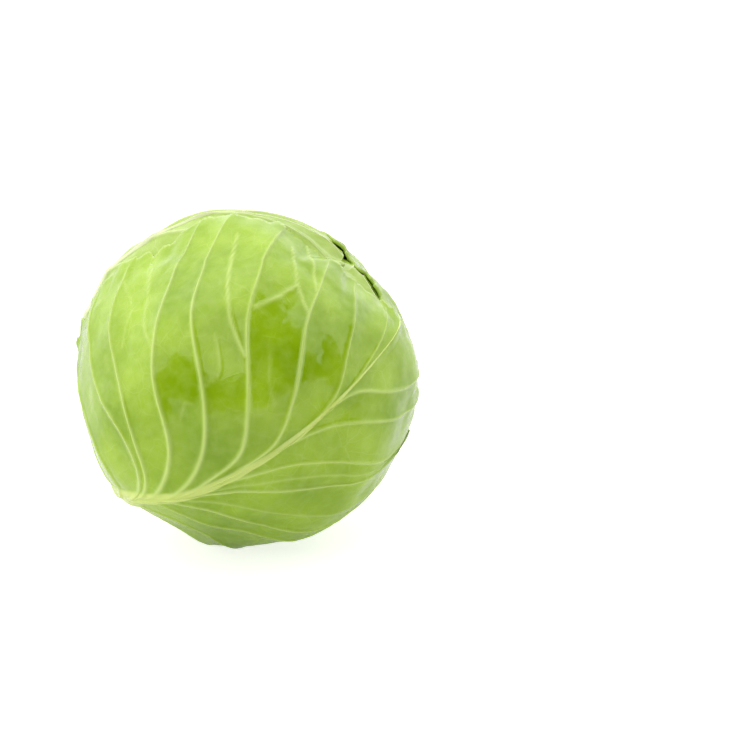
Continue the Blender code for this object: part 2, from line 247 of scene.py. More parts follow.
def noise(tree, place, scale, detail):
    """The outputs of a noise texture: a value and a colour."""
    return add_node(tree, "ShaderNodeTexNoise", {"Vector": place, "Scale": scale, "Detail": detail}).outputs


CLOUD_SCALE, CLOUD_DETAIL = 26.0, 4.0
FLECK_SCALE, FLECK_DETAIL = 170.0, 3.0
WARP_SCALE, WARP_DETAIL = 14.0, 2.0
WARP_REACH = (0.05, 0.05, 0.0)
NET_MESHES = ((11.0, 0.045, 1.0), (26.0, 0.06, 0.6))
NET_PATCHES = (0.4, 0.65)
NET_PALENESS = 0.4
NET_RELIEF = 0.12 * MM
GREEN_PATCHES = (0.35, 0.68)
FLECK_PATCHES = (0.4, 0.75)
FLECK_PALENESS = 0.18
FLECK_RELIEF = 0.05 * MM
SHINE_PATCHES = (0.3, 0.7)
SKIN_ROUGHNESS = (0.09, 0.14)
VEIN_ROUGHNESS = 0.1
WAX_IOR = 1.5


def leaf_skin_group():
    """Colour, roughness and relief of a leaf's skin: two greens that cloud into each other, pale veins and
    rib with a soft halo, a fine net of small veins, a paler foot near the stem, and a painted highlight
    along the margin, where the rim is lightened towards the vein colour."""
    tree = bpy.data.node_groups.new("leaf_skin", "ShaderNodeTree")
    for title, kind in (
        ("Place", "NodeSocketVector"),
        ("Plane", "NodeSocketVector"),
        ("Vein", "NodeSocketFloat"),
        ("Rib", "NodeSocketFloat"),
        ("Foot", "NodeSocketFloat"),
        ("Edge highlight", "NodeSocketFloat"),
        ("Green", "NodeSocketColor"),
        ("Deep green", "NodeSocketColor"),
        ("Vein colour", "NodeSocketColor"),
        ("Rib colour", "NodeSocketColor"),
        ("Foot colour", "NodeSocketColor"),
        ("Net", "NodeSocketFloat"),
    ):
        tree.interface.new_socket(title, in_out="INPUT", socket_type=kind)
    for title, kind in (
        ("Colour", "NodeSocketColor"),
        ("Roughness", "NodeSocketFloat"),
        ("Relief", "NodeSocketFloat"),
    ):
        tree.interface.new_socket(title, in_out="OUTPUT", socket_type=kind)
    given = tree.nodes.new("NodeGroupInput").outputs
    cloud = noise(tree, given["Place"], CLOUD_SCALE, CLOUD_DETAIL)[0]
    fleck = noise(tree, given["Place"], FLECK_SCALE, FLECK_DETAIL)[0]
    warp = noise(tree, given["Plane"], WARP_SCALE, WARP_DETAIL)[1]
    warped = add_node(
        tree, "ShaderNodeVectorMath", {0: warp, 1: WARP_REACH, 2: given["Plane"]}, operation="MULTIPLY_ADD"
    ).outputs[0]
    net = 0.0
    for scale, width, strength in NET_MESHES:
        cells = add_node(
            tree,
            "ShaderNodeTexVoronoi",
            {"Vector": warped, "Scale": scale},
            feature="DISTANCE_TO_EDGE",
            voronoi_dimensions="2D",
        ).outputs["Distance"]
        line = spread(tree, cells, 0.0, width, strength, 0.0)
        net = math_node(tree, "MAXIMUM", net, line)
    net = math_node(tree, "MULTIPLY", net, spread(tree, cloud, *NET_PATCHES))
    net = math_node(tree, "MULTIPLY", net, given["Net"])
    flecks = math_node(tree, "MULTIPLY", spread(tree, fleck, *FLECK_PATCHES), FLECK_PALENESS)
    body = blend(tree, spread(tree, cloud, *GREEN_PATCHES), given["Deep green"], given["Green"])
    body = blend(tree, flecks, body, given["Vein colour"])
    body = blend(tree, given["Foot"], body, given["Foot colour"])
    body = blend(tree, math_node(tree, "MULTIPLY", net, NET_PALENESS), body, given["Vein colour"])
    body = blend(tree, given["Vein"], body, given["Vein colour"])
    body = blend(tree, given["Rib"], body, given["Rib colour"])
    # Painted highlight: the rim of the margin is lightened towards the vein colour.
    body = blend(tree, given["Edge highlight"], body, given["Vein colour"])
    rough = spread(tree, cloud, *SHINE_PATCHES, *SKIN_ROUGHNESS)
    rough = math_node(tree, "ADD", rough, math_node(tree, "MULTIPLY", given["Vein"], VEIN_ROUGHNESS))
    fine = math_node(tree, "MULTIPLY", fleck, FLECK_RELIEF)
    relief = math_node(tree, "ADD", math_node(tree, "MULTIPLY", net, NET_RELIEF), fine)
    result = tree.nodes.new("NodeGroupOutput").inputs
    tree.links.new(body, result["Colour"])
    tree.links.new(rough, result["Roughness"])
    tree.links.new(relief, result["Relief"])
    return tree


LEAF_SKIN = leaf_skin_group()


def leaf_material(name, green, deep, vein, rib, foot, net):
    """A waxy leaf: the shared skin in its own colours, and a bump from the skin's relief."""
    material = bpy.data.materials.new(name)
    material.use_nodes = True
    tree = material.node_tree
    shader = tree.nodes["Principled BSDF"]
    place = add_node(tree, "ShaderNodeTexCoord").outputs["Object"]
    plane = add_node(tree, "ShaderNodeUVMap", uv_map="leaf_plane").outputs[0]
    # The edge attribute carries a painted highlight along the leaf's margin.
    marks = {
        title: add_node(tree, "ShaderNodeAttribute", attribute_name=key).outputs["Fac"]
        for title, key in (("Vein", "vein"), ("Rib", "rib"), ("Foot", "foot"), ("Edge highlight", "edge"))
    }
    skin = add_node(tree, "ShaderNodeGroup", node_tree=LEAF_SKIN)
    for title, socket in (("Place", place), ("Plane", plane), *marks.items()):
        tree.links.new(socket, skin.inputs[title])
    for title, value in (
        ("Green", green),
        ("Deep green", deep),
        ("Vein colour", vein),
        ("Rib colour", rib),
        ("Foot colour", foot),
        ("Net", net),
    ):
        skin.inputs[title].default_value = value
    bump = add_node(tree, "ShaderNodeBump", {"Height": skin.outputs["Relief"], "Distance": 1.0})
    tree.links.new(skin.outputs["Colour"], shader.inputs["Base Color"])
    tree.links.new(skin.outputs["Roughness"], shader.inputs["Roughness"])
    tree.links.new(bump.outputs[0], shader.inputs["Normal"])
    shader.inputs["IOR"].default_value = WAX_IOR
    return material


INNER_LEAF = leaf_material(
    "inner_leaf_skin",
    green=shade(206, 226, 132),
    deep=shade(184, 210, 100),
    vein=shade(228, 240, 180),
    rib=shade(236, 244, 200),
    foot=shade(236, 240, 200),
    net=0.5,
)

heart = make_heart()
heart.data.materials.append(INNER_LEAF)
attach(heart, "root")
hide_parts("inner_head")

# The wrapper leaves
#
# Five broad leaves wrapped round the head one over another. Each has a thick pale midrib, raised side
# veins that leave it low and fan out to a thin wavy margin, and a waxy blade that sags between the veins.

BLADE = 1.0 * MM
CLEARANCE = 1.2 * MM
VEIN_HEIGHT = 1.5 * MM
POLE_DISTANCE = 80.0
BASE_DISTANCE = 12.5
BASE_STEP = 0.9
BASE_LOBE = 2.5
TIP_VEIN = 30.0
BEND_AT = 42.0
BEND_LENGTH = 14.0
SWAY = 17.0
SWAY_AT = -35.0
SWAY_LENGTH = 22.0
EDGE_RAMP = 0.275
RIB_LIFT_SPREAD = 14.0
OUTLINE_CENTRE = 6.0
MARGIN_TOOTH = 1.6
MARGIN_TEETH = 11
TOOTH_PHASE = 2.1
STALK_FADE = 9.0
RIB_FOOT_AT = 12.0
RIB_TAPER_LENGTH = 175.0
RIB_LEAST_TAPER = 0.12
RIB_HALF_WIDTH = 2.0
RIB_FOOT_WIDTH = 8.5
RIB_FOOT_WIDTH_FADE = 11.0
RIB_WIDTH_LIMITS = (0.4, 11.0)
RIB_HEIGHT = 2.4
RIB_FOOT_HEIGHT = 4.2
RIB_FOOT_HEIGHT_FADE = 13.0
RIB_HEIGHT_LIMIT = 6.2
RIB_ROOM = 1.1
BAR_LEAST_TAPER = 0.1
BAR_HALF_WIDTH = 2.7
BAR_FLARES = ((8.5, 11.0), (7.0, 26.0))
BAR_WIDTH_LIMITS = (0.3, 12.0)
ANGLE_AT = np.array([0.0, 10.0, 24.0, 40.0, 60.0, 90.0])
BASE_ROW = (0.0, 99, 104, 107, 109, 111, 112)
TIP_ROW = (0.0, 0, 0, 0, 0, 0, 0)
MARGIN_SEARCH = 150.0
MARGIN_STEPS = 601
LEAST_ROW = 4.0
LEAST_RISE = 1e-6
TINY = 1e-9
COLUMN_EVENNESS = 0.5
RAGGED_WAVES = ((0.7, 9.0, 0), (0.35, 3.2, 7))
ROW_PULL = 0.35
WIDE_PART = 0.6
FEWEST_ROWS = 8
MOST_ROWS = 42
DROOP_FROM = 0.6
MARGIN_STEP = 1.05
VEIN_ROOM = 2.0 * MM
VEIN_NARROWING = 0.55
VEIN_START = (0.0, 0.06)
VEIN_END = (0.9, 1.0)
CREST_HEIGHT = 1.35
CREST_FADE = 0.65
FORK_HEIGHT = 0.5
FLAT_PITCH = 30.0
WIDEST_SAG = 1.3
SAG_DEPTH = 1.15
SAG_START = (0.03, 0.3)
SAG_END = (0.75, 1.0)
PUCKER_WAVES = ((0.18, 0.36), (0.09, 0.15), (0.035, 0.06))
BLADE_FACE = 1.1
MARGIN_FROM = 0.84
MARGIN_FALL = 0.8
FLUTES = (25.0, 43.0)
FLUTE_HEIGHT = 0.35
DRAWN_WIDTH = 0.8
DRAWN_FADE = 0.35
FORK_PALENESS = 0.75
RIB_EDGE = (0.7, 1.05)
FOOT_PALENESS = 0.65
FOOT_REACH = (22.0, 60.0)
# Painted highlight along the leaf margin: how strongly the rim is lightened, and from which share of the row.
RIM_PAINTED_HIGHLIGHT = 0.5
RIM_FROM = 0.985
TORN_VEIN = 7.0
TEAR_EDGE = (0.0, 0.05)
TEAR_FADE = (0.5, 1.2)
TEAR_ALONG = (0.72, 0.86)
TEAR_DROP = 1.2 * MM
REST_BLADE = 1.1 * MM
REST_FADE = (6.0, 16.0)
LEAST_REST_BLADE = 0.3 * MM
ARC_MM = 1.68
PLANE_UNIT = 100.0
BLADE_SKIN = 0.7 * MM
RIM_DEPTH = 1.2 * MM
RIM_DEPTH_FROM = 0.96


def smooth_values(at, knots, values):
    """Values between knots, on cubic curves whose slopes follow the neighbouring knots, row by row."""
    slopes = np.gradient(values, knots, axis=1)
    at = np.clip(at, knots[0], knots[-1])
    left = np.clip(np.searchsorted(knots, at, side="right") - 1, 0, len(knots) - 2)
    gap = knots[left + 1] - knots[left]
    part = (at - knots[left]) / gap
    first, last = np.take_along_axis(values, left, 1), np.take_along_axis(values, left + 1, 1)
    leave, arrive = np.take_along_axis(slopes, left, 1), np.take_along_axis(slopes, left + 1, 1)
    rise = part * part * (3.0 - 2.0 * part)
    turn_in = part * (1.0 - part) ** 2 * leave - part * part * (1.0 - part) * arrive
    return first + (last - first) * rise + gap * turn_in


class LeafPlane:
    """The flat drawing of one leaf: x across and y along it, in degrees of arc from the leaf's centre.

    Each side vein has a start on the midrib, and an angle off the midrib at each of a few distances."""

    def __init__(self, order, reach, corners, bend, starts, left_veins, right_veins, seed, forks=()):
        azimuth = math.radians(FIRST_AZIMUTH + GOLDEN_ANGLE * order)
        pole_angle = math.radians(POLE_DISTANCE)
        self.order = order
        self.base = POLE_DISTANCE - BASE_DISTANCE - BASE_STEP * order
        self.left, self.right, self.tip = reach
        self.upper_left, self.upper_right, self.lower_right = corners
        self.bend = bend
        self.forks = forks
        self.seed = seed
        self.centre = direction(pole_angle, azimuth)
        self.along = direction(pole_angle + math.pi / 2, azimuth)
        self.across = np.cross(self.along, self.centre)
        self.starts = np.array([-self.base, *starts, OUTLINE_CENTRE + self.tip - TIP_VEIN])
        self.veins = {
            -1: np.array([BASE_ROW, *left_veins, TIP_ROW], float),
            1: np.array([BASE_ROW, *right_veins, TIP_ROW], float),
        }
        self.gaps = len(starts) + 1

    def to_head(self, x, y):
        """Directions in the head's frame of points on the plane."""
        arc = np.radians(np.hypot(x, y))
        turn = np.arctan2(x, y)
        tangent = np.sin(turn)[..., None] * self.across + np.cos(turn)[..., None] * self.along
        return np.cos(arc)[..., None] * self.centre + np.sin(arc)[..., None] * tangent

    def to_plane(self, directions):
        """The point on the plane of each direction in the head's frame."""
        arc = np.degrees(np.arccos(np.clip(directions @ self.centre, -1.0, 1.0)))
        turn = np.arctan2(directions @ self.across, directions @ self.along)
        return arc * np.sin(turn), arc * np.cos(turn)

    def midrib_x(self, y):
        """How far sideways the midrib has run at a distance y along the leaf: straight, then leaning."""
        past = y + BEND_AT
        sway = SWAY * np.exp(-(((y - SWAY_AT) / SWAY_LENGTH) ** 2))
        return self.bend * (0.5 * (past + np.hypot(past, BEND_LENGTH)) - sway)

    def share_of_margin(self, x, y):
        """Distance from the outline's centre as a share of the distance to the margin that way."""
        from_centre = y - OUTLINE_CENTRE
        turn = np.arctan2(x, from_centre)
        side = np.where(x < 0, self.left, self.right)
        end = np.where(from_centre > 0, self.tip, self.base + OUTLINE_CENTRE + BASE_LOBE)
        upper = np.where(x < 0, self.upper_left, self.upper_right)
        lower = np.where(x < 0, 0.0, self.lower_right)
        margin = side * np.sin(turn) ** 2 + end * np.cos(turn) ** 2
        margin = margin + np.where(from_centre > 0, upper, lower) * np.sin(2 * turn) ** 2
        teeth = MARGIN_TOOTH * np.sin(MARGIN_TEETH * turn + TOOTH_PHASE * self.order)
        return np.hypot(x, from_centre) / (margin + teeth * np.sin(turn) ** 2)

    def rib_shape(self, y):
        """Half width in degrees of arc and height in metres of the midrib at a distance along the leaf."""
        from_foot = y + POLE_DISTANCE - RIB_FOOT_AT
        taper = (1.0 - (from_foot + RIB_FOOT_AT) / RIB_TAPER_LENGTH).clip(RIB_LEAST_TAPER)
        half_width = RIB_HALF_WIDTH * taper + RIB_FOOT_WIDTH * np.exp(-from_foot / RIB_FOOT_WIDTH_FADE)
        height = RIB_HEIGHT * taper + RIB_FOOT_HEIGHT * np.exp(-from_foot / RIB_FOOT_HEIGHT_FADE)
        return half_width.clip(*RIB_WIDTH_LIMITS), height.clip(0.0, RIB_HEIGHT_LIMIT) * MM

    def rib_height(self, x, y, spread_out=0.0):
        """Height of the midrib above the blade: half a cosine wave across; spread_out widens it."""
        half_width, height = self.rib_shape(y)
        away = np.abs(x - self.midrib_x(y)) / (half_width + spread_out)
        return height * (0.5 + 0.5 * np.cos(math.pi * away.clip(0.0, 1.0)))

    def cover(self, directions):
        """Room that this leaf takes up under the leaves outside it, fading out past its margin."""
        x, y = self.to_plane(directions)
        inside = 1.0 - smoothstep(1.0, 1.0 + EDGE_RAMP, self.share_of_margin(x, y))
        stalk = smoothstep(BASE_DISTANCE - STALK_FADE, BASE_DISTANCE, np.hypot(x, y + POLE_DISTANCE))
        rib = RIB_ROOM * self.rib_height(x, y, RIB_LIFT_SPREAD)
        return inside * stalk * (BLADE + VEIN_HEIGHT + CLEARANCE + rib)

    def rib_crest(self, x, y):
        """Distance from the midrib as a share of its visible half width, and its height in metres there.

        The finished midrib is a rounded bar, wider than the solid's: half its width is a straight taper plus
        two widenings that fade away from the stem, and its cross-section is a parabola."""
        from_foot = y + POLE_DISTANCE - RIB_FOOT_AT
        taper = (1.0 - (from_foot + RIB_FOOT_AT) / RIB_TAPER_LENGTH).clip(BAR_LEAST_TAPER)
        half_width = BAR_HALF_WIDTH * taper
        for flare, fade in BAR_FLARES:
            half_width = half_width + flare * np.exp(-from_foot / fade)
        away = np.abs(x - self.midrib_x(y)) / half_width.clip(*BAR_WIDTH_LIMITS)
        _, height = self.rib_shape(y)
        return away, height * (1.0 - away.clip(0.0, 1.0) ** 2)

    def row_point(self, vein, distance, side):
        """The point at a distance along a row; rows count the side veins from 0 at the base to the tip.

        Its place is given from the row's start on the midrib as a distance and an angle off the midrib."""
        count = np.arange(self.gaps + 1)
        table = self.veins[side]
        start = np.interp(vein, count, self.starts)[:, None]
        low = np.clip(vein.astype(int), 0, self.gaps - 1)
        part = (vein - low)[:, None]
        angles = table[low, 1:] * (1.0 - part) + table[low + 1, 1:] * part
        angle = np.radians(smooth_values(distance, ANGLE_AT, angles))
        lean = np.arctan2(self.midrib_x(start + 1.0) - self.midrib_x(start - 1.0), 2.0)
        x = self.midrib_x(start) + distance * np.sin(lean + side * angle)
        y = start + distance * np.cos(lean + side * angle)
        return x, y

    def vein_strength(self, vein, side):
        """How strong the nearest side vein is, from 0 to 1."""
        return self.veins[side][np.clip(np.round(vein).astype(int), 0, self.gaps), 0]

    def row_length(self, vein, side):
        """How far along each row the margin lies, found between two steps of a search outward."""
        steps = np.linspace(0.0, MARGIN_SEARCH, MARGIN_STEPS)
        x, y = self.row_point(vein, np.broadcast_to(steps, (len(vein), MARGIN_STEPS)), side)
        share = self.share_of_margin(x, y)
        last = (MARGIN_STEPS - 1 - np.argmax((share < 1.0)[:, ::-1], axis=1)).clip(1, MARGIN_STEPS - 2)
        number = np.arange(len(vein))
        below, above = share[number, last], share[number, last + 1]
        return (steps[last] + (1.0 - below) / (above - below).clip(LEAST_RISE) * steps[1]).clip(LEAST_ROW)


def row_numbers(leaf, row_spacing):
    """Vein numbers of a leaf's rows: closer together beside each vein, and more of them in a wide gap."""
    count = np.arange(leaf.gaps + 1.0)
    widest = np.zeros(leaf.gaps)
    for side in (-1, 1):
        x, y = leaf.row_point(count, WIDE_PART * leaf.row_length(count, side)[:, None], side)
        widest = np.maximum(widest, np.hypot(np.diff(x[:, 0]), np.diff(y[:, 0])) * ARC_MM)
    rows = (widest / row_spacing).clip(FEWEST_ROWS, MOST_ROWS).round().astype(int)
    even = [np.linspace(gap, gap + 1, many, endpoint=False) for gap, many in enumerate(rows)]
    even = np.concatenate([*even, [leaf.gaps]])
    return even - ROW_PULL * np.sin(2 * math.pi * even) / (2 * math.pi)


def leaf_side(leaf, side, vein, columns):
    """One half of a leaf's grid: vein number, share of the row, strength, pitch in mm, place on the plane.

    Pitch is the distance across from one whole vein number to the next, square to the rows."""
    length = leaf.row_length(vein, side)
    end_x, end_y = leaf.row_point(vein, length[:, None], side)
    end = np.concatenate([end_x, end_y], axis=1)
    ragged = 0.0
    for size, wavelength, shift in RAGGED_WAVES:
        ragged = ragged + size * waves(end, wavelength, leaf.seed + shift + side)
    length = length + ragged * smoothstep(0.0, 1.0, vein) * smoothstep(0.0, 1.0, leaf.gaps - vein)
    step = np.linspace(0.0, 1.0, columns)
    share = step * (COLUMN_EVENNESS + (1.0 - COLUMN_EVENNESS) * np.sqrt(step))
    share = np.broadcast_to(share, (len(vein), columns))
    x, y = leaf.row_point(vein, share * length[:, None], side)
    run_x, run_y = np.gradient(x, axis=1), np.gradient(y, axis=1)
    run = np.hypot(run_x, run_y).clip(TINY)
    across_x = np.gradient(x, axis=0) / np.gradient(vein)[:, None]
    across_y = np.gradient(y, axis=0) / np.gradient(vein)[:, None]
    pitch = np.abs(across_x * run_y - across_y * run_x) / run * ARC_MM
    strength = np.broadcast_to(leaf.vein_strength(vein, side)[:, None], x.shape)
    return [np.broadcast_to(vein[:, None], x.shape), share, strength, pitch, x, y]


def leaf_grid(leaf, row_spacing, columns):
    """Both halves as one grid, from the left of the base round the tip to the right of the base."""
    vein = row_numbers(leaf, row_spacing)
    left = leaf_side(leaf, -1, vein, columns)
    right = leaf_side(leaf, 1, vein, columns)
    return [np.concatenate([a, b[::-1][1:]], axis=0) for a, b in zip(left, right)]


def fork_lines(leaf, x, y):
    """How near each point is to a forked vein, from 1 on its line: each fork is a bent line on the plane."""
    nearest = np.zeros(len(x))
    for width, strength, line in leaf.forks:
        for (start_x, start_y), (end_x, end_y) in zip(line, line[1:]):
            run_x, run_y = end_x - start_x, end_y - start_y
            part = ((x - start_x) * run_x + (y - start_y) * run_y) / (run_x**2 + run_y**2)
            part = part.clip(0.0, 1.0)
            off = np.hypot(x - start_x - part * run_x, y - start_y - part * run_y) * ARC_MM
            nearest = np.maximum(nearest, strength * np.exp(-((off / width) ** 2)))
    return nearest


def leaf_relief(leaf, vein, share, strength, pitch, x, y, directions):
    """Height of a leaf's outer face in metres, and its masks.

    A vein is a rounded crest: height falls off with the distance from the nearest whole vein number. The
    blade between two veins is nearly flat, so it sags below the ball by the square of its width, and it is
    puckered by waves of three sizes. At the margin it flutes and turns down."""
    off_vein = np.abs(vein - np.round(vein))
    off_mm = off_vein * pitch
    width = VEIN_HALF_WIDTH * (1.0 - VEIN_NARROWING * share)
    swell = smoothstep(*VEIN_START, share) * (1.0 - smoothstep(*VEIN_END, share)) * strength
    crest = np.exp(-((off_mm / width) ** 2)) * swell
    forks = fork_lines(leaf, x, y)
    veins = np.maximum(crest * (1.0 - CREST_FADE * share), FORK_HEIGHT * forks)
    sag = (pitch / FLAT_PITCH).clip(0.0, WIDEST_SAG) ** 2 * 4.0 * off_vein * (1.0 - off_vein)
    sag = sag * smoothstep(*SAG_START, share) * (1.0 - 0.5 * smoothstep(*SAG_END, share))
    pucker = 0.0
    for number, (size, wavelength) in enumerate(PUCKER_WAVES):
        pucker = pucker + size * waves(directions, wavelength, leaf.seed + number)
    edge = smoothstep(MARGIN_FROM, 1.0, share)
    turn = np.arctan2(x, y)
    flute = sum(np.sin(count * turn + number * leaf.seed) for number, count in enumerate(FLUTES, start=1))
    away, rib = leaf.rib_crest(x, y)
    height = BLADE_FACE - SAG_DEPTH * sag + CREST_HEIGHT * veins + pucker * (1.0 - 0.5 * edge)
    height = (height + edge * (FLUTE_HEIGHT * flute - MARGIN_FALL)) * MM + rib
    if leaf.order == 0:
        height = height - torn_flap(vein, share)
    drawn = np.exp(-((off_mm / (DRAWN_WIDTH * width)) ** 2)) * swell * (1.0 - DRAWN_FADE * share)
    from_pole = np.hypot(x, y + POLE_DISTANCE)
    masks = {
        "vein": np.maximum(drawn, FORK_PALENESS * forks).clip(0.0, 1.0),
        "rib": 1.0 - smoothstep(*RIB_EDGE, away),
        "foot": FOOT_PALENESS * (1.0 - smoothstep(*FOOT_REACH, from_pole)),
        # edge: a painted highlight, the rim of the margin lightened towards the vein colour.
        "edge": RIM_PAINTED_HIGHLIGHT * smoothstep(RIM_FROM, 1.0, share),
    }
    return height, rib, masks


def torn_flap(vein, share):
    """How far the front leaf has dropped where its margin is torn along a side vein."""
    beyond = vein - TORN_VEIN
    beside = smoothstep(*TEAR_EDGE, beyond) * (1.0 - smoothstep(*TEAR_FADE, beyond))
    return TEAR_DROP * beside * smoothstep(*TEAR_ALONG, share)


def settle(roomy, beneath, share):
    """A leaf's roomy radius, let down towards the face beneath as its margin comes near."""
    return roomy + (np.minimum(beneath + VEIN_ROOM, roomy) - roomy) * smoothstep(DROOP_FROM, 1.0, share)


def leaf_base(leaf, inner_leaves, directions, share):
    """Radius of a leaf's inner face: over the room of every leaf inside it, but towards the margin the leaf
    droops until it lies on whatever is beneath, which is built up here leaf by leaf from the inner head."""
    beneath = heart_radius(directions)
    roomy = beneath + CLEARANCE
    for inner in reversed(inner_leaves):
        x, y = inner.to_plane(directions)
        inner_share = inner.share_of_margin(x, y)
        _, rib = inner.rib_crest(x, y)
        face = settle(roomy, beneath, inner_share) + BLADE + rib
        ended = smoothstep(1.0, MARGIN_STEP, inner_share)
        beneath = beneath + (np.maximum(face, beneath) - beneath) * (1.0 - ended)
        roomy = roomy + inner.cover(directions)
    return settle(roomy, beneath, share)


def edge_faces(rows, columns, under_columns):
    """Faces of the thin edge: quads along the margin, and strips at both ends of the base."""
    outer = np.arange(rows) * columns + columns - 1
    under = rows * columns + np.arange(rows) * under_columns + under_columns - 1
    rim = np.stack([outer[:-1], outer[1:], under[1:], under[:-1]], axis=1).tolist()
    for row in (0, rows - 1):
        outer_row = row * columns + np.arange(columns)
        under_row = rows * columns + row * under_columns + np.arange(under_columns)
        rim += strip_faces(outer_row, under_row)
    return rim


def strip_faces(long_row, short_row):
    """Triangles that join a long row of vertices to a shorter one beside it."""
    share = np.linspace(0.0, 1.0, len(short_row))
    place = np.searchsorted(share, np.linspace(0.0, 1.0, len(long_row)) - TINY).clip(0, len(short_row) - 1)
    faces = []
    for at in range(len(long_row) - 1):
        here, after = int(place[at]), int(place[at + 1])
        faces.append([int(long_row[at]), int(long_row[at + 1]), int(short_row[after])])
        if after != here:
            faces.append([int(long_row[at]), int(short_row[after]), int(short_row[here])])
    return faces


def make_leaf(name, leaf, inner_leaves, material, row_spacing, columns, under_columns):
    """One wrapper leaf as a closed blade: a fine outer face and a coarser inner one on the same rows."""
    parts = leaf_grid(leaf, row_spacing, columns)
    vein, share, strength, pitch, x, y = [part.ravel() for part in parts]
    shape = parts[0].shape
    rows = shape[0]
    directions = leaf.to_head(x, y)
    base = leaf_base(leaf, inner_leaves, directions, share)
    height, rib, masks = leaf_relief(leaf, vein, share, strength, pitch, x, y, directions)
    if leaf.order == 0:
        base = press_flat(base, directions, REST_BLADE)
        off_floor = np.degrees(np.arccos(np.clip(directions @ DOWN, -1.0, 1.0)))
        height = BLADE + (height - BLADE) * smoothstep(*REST_FADE, off_floor)
    outer = lay_down(directions * (base + height)[:, None])
    outer[:, 2] = outer[:, 2].clip(0.0)
    picks = np.unique(np.linspace(0, columns - 1, under_columns).round().astype(int))
    skin = BLADE_SKIN + RIM_DEPTH * smoothstep(RIM_DEPTH_FROM, 1.0, share)
    under_radius = base + height - rib - masks["vein"] * MM - skin
    under = (directions * under_radius[:, None]).reshape(*shape, 3)[:, picks].reshape(-1, 3)
    under = lay_down(under)
    under[:, 2] = under[:, 2].clip(LEAST_REST_BLADE)
    faces = grid_faces(rows, columns).tolist()
    faces += grid_faces(rows, len(picks), rows * columns)[:, ::-1].tolist()
    faces += edge_faces(rows, columns, len(picks))
    values = {
        title: np.concatenate([mask, mask.reshape(shape)[:, picks].ravel()]) for title, mask in masks.items()
    }
    plane = np.stack([x, y], axis=-1) / PLANE_UNIT
    plane = np.concatenate([plane, plane.reshape(*shape, 2)[:, picks].reshape(-1, 2)])
    piece = make_piece(name, np.concatenate([outer, under]), faces, values, plane)
    piece.data.materials.append(material)
    return piece


OUTER_LEAF = leaf_material(
    "outer_leaf_skin",
    green=shade(171, 208, 36),
    deep=shade(139, 177, 5),
    vein=shade(215, 239, 128),
    rib=shade(222, 240, 128),
    foot=shade(206, 230, 120),
    net=0.5,
)
PALE_LEAF = leaf_material(
    "pale_leaf_skin",
    green=shade(174, 205, 76),
    deep=shade(154, 188, 46),
    vein=shade(218, 234, 156),
    rib=shade(230, 238, 184),
    foot=shade(216, 229, 150),
    net=0.5,
)

FRONT_STARTS = (-50, -43, -37, -31, -26, -20, -13, -2, 22, 42)
FRONT_LEFT_VEINS = (
    (0.7, 60, 78, 86, 91, 95, 97),
    (0.8, 30, 48, 66, 82, 90, 92),
    (0.9, 5, 12, 37, 69, 80, 83),
    (0.9, 14, 30, 54, 68, 80, 84),
    (1.0, 18, 27, 40, 58, 66, 70),
    (1.0, 10, 18, 30, 45, 60, 67),
    (1.0, 12, 15, 17, 33, 47, 53),
    (1.0, 8, 9, 9, 21, 32, 35),
    (0.8, 0, 0, 4, 17, 25, 26),
    (0.7, 0, 0, 5, 9, 9, 8),
)
FRONT_RIGHT_VEINS = (
    (0.6, 50, 70, 84, 92, 97, 99),
    (0.6, 25, 45, 66, 80, 88, 90),
    (0.8, 10, 16, 47, 54, 60, 62),
    (0.8, 8, 11, 27, 42, 48, 48),
    (0.4, 6, 9, 19, 31, 37, 40),
    (0.9, 4, 5, 11, 18, 24, 30),
    (0.4, 6, 8, 12, 17, 26, 34),
    (0.8, 8, 11, 14, 24, 36, 44),
    (0.7, 5, 10, 22, 34, 42, 46),
    (0.8, 5, 11, 32, 41, 42, 42),
)
FRONT_FORKS = (
    (1.2, 1.0, ((-12.5, 37.5), (-26, 42), (-37, 48), (-59, 64))),
    (1.2, 1.0, ((-23, 50.5), (-20, 60), (-18, 70))),
    (1.2, 0.9, ((-6, 64), (-18, 70), (-36, 84))),
    (1.1, 0.8, ((-10, 74), (-20, 85), (-37, 98))),
    (1.0, 0.6, ((-36, 14), (-43.5, 13), (-51, 14), (-59.5, 16.5), (-74.5, 19.5))),
    (0.9, 0.4, ((-76, 3.5), (-66, 7), (-58.5, 9), (-52.5, 4.5), (-45.5, 1))),
    (0.9, 0.3, ((-6, 43.5), (-0.5, 37.5), (6.5, 33))),
    (0.9, 0.5, ((-15, 19.5), (-13.5, 26), (-15, 29), (-18, 31), (-25, 34.5))),
    (0.8, 0.35, ((-12, 8), (-15, 13), (-11, 17))),
)
LEAF_1 = LeafPlane(
    order=0,
    reach=(86.0, 90.0, 93.0),
    corners=(8.0, 10.0, 18.0),
    bend=0.29,
    starts=FRONT_STARTS,
    left_veins=FRONT_LEFT_VEINS,
    right_veins=FRONT_RIGHT_VEINS,
    seed=3,
    forks=FRONT_FORKS,
)


ORDINARY_GAPS = 9
ORDINARY_STRENGTHS = (0.75, 1.0)
START_EVENNESS = 0.42
START_CROWDING = 2.6
WIDEST_OPENING = 112.0
OPENING_FALL = 1.3
OPENING_END = 1.15
OPENING_LENGTH = 28.0
OPEN_AT_ONCE = 0.12
OPEN_AT_FOOT = 0.5
FOOT_FADE = 0.07
STRAY_ANGLE = 2.2
STRAY_FROM = 24.0


